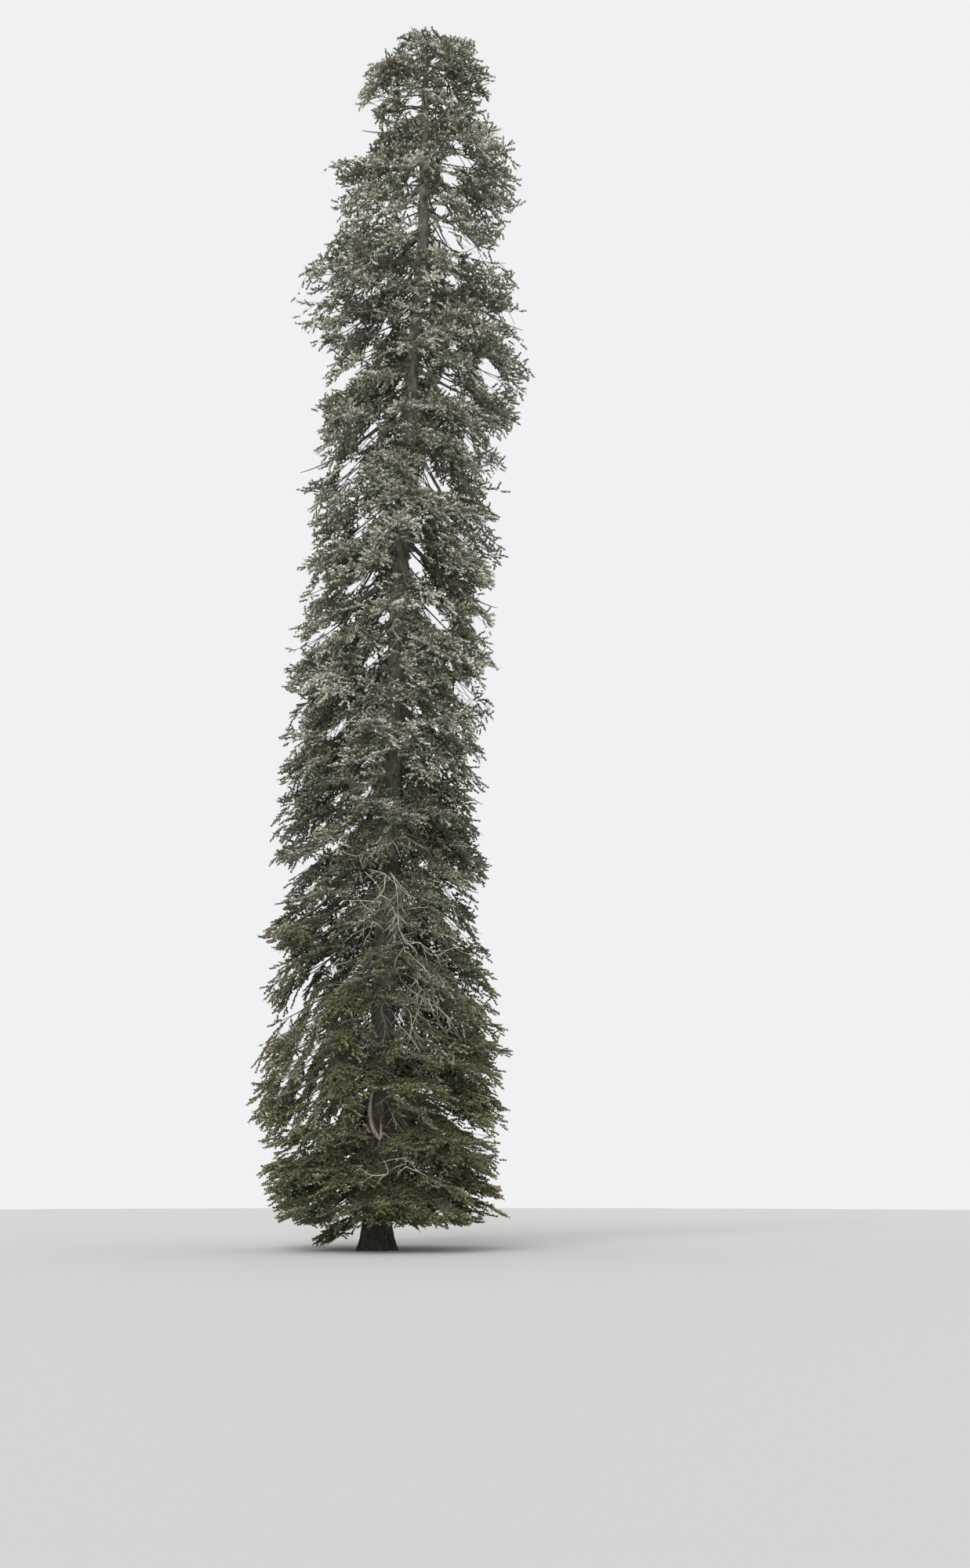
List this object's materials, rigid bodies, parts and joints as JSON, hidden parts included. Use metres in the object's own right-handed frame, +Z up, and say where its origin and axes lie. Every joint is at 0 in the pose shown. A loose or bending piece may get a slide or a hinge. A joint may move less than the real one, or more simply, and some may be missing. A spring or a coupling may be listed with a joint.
{
  "type": "fir tree",
  "caption": "Tall fir with a leaning, tapering trunk, a narrow ragged column of drooping boughs down to the ground and a few dead limbs hanging beside the trunk.",
  "frame": {"origin": "centre of the trunk's flat cut at ground level", "axes": "+Z up the tree, +X to the right of the view in which the tree stands with its lean to the right, +Y away from that view"},
  "size_m": [7.8202, 7.4561, 34.0485],
  "materials": {
    "bark": "rough grey-brown bark",
    "needles": "matte dark green needles",
    "dead_wood": "bare, weathered pale wood"
  },
  "bodies": {
    "root": {"trunk": "bark", "bough_01": "bark", "bough_02": "bark", "bough_03": "bark", "bough_04": "bark", "bough_05": "bark", "bough_06": "bark", "bough_07": "bark", "bough_08": "bark", "bough_09": "bark", "bough_10": "bark", "bough_11": "bark", "bough_12": "bark", "bough_13": "bark", "bough_14": "bark", "bough_15": "bark", "bough_16": "bark", "bough_17": "bark", "bough_18": "bark", "bough_19": "bark", "bough_20": "bark", "bough_21": "bark", "bough_22": "bark", "foliage_01": "needles", "foliage_02": "needles", "foliage_03": "needles", "foliage_04": "needles", "foliage_05": "needles", "foliage_06": "needles", "foliage_07": "needles", "foliage_08": "needles", "foliage_09": "needles", "foliage_10": "needles", "foliage_11": "needles", "foliage_12": "needles", "foliage_13": "needles", "foliage_14": "needles", "foliage_15": "needles", "foliage_16": "needles", "foliage_17": "needles", "foliage_18": "needles", "foliage_19": "needles", "foliage_20": "needles", "foliage_21": "needles", "foliage_22": "needles", "foliage_23": "needles", "foliage_24": "needles", "foliage_25": "needles", "foliage_26": "needles", "foliage_27": "needles", "foliage_28": "needles", "foliage_29": "needles", "foliage_30": "needles", "foliage_31": "needles", "foliage_32": "needles", "foliage_33": "needles", "dead_limb_01": "dead_wood", "dead_limb_02": "dead_wood", "dead_limb_03": "dead_wood"}
  },
  "joints": []
}
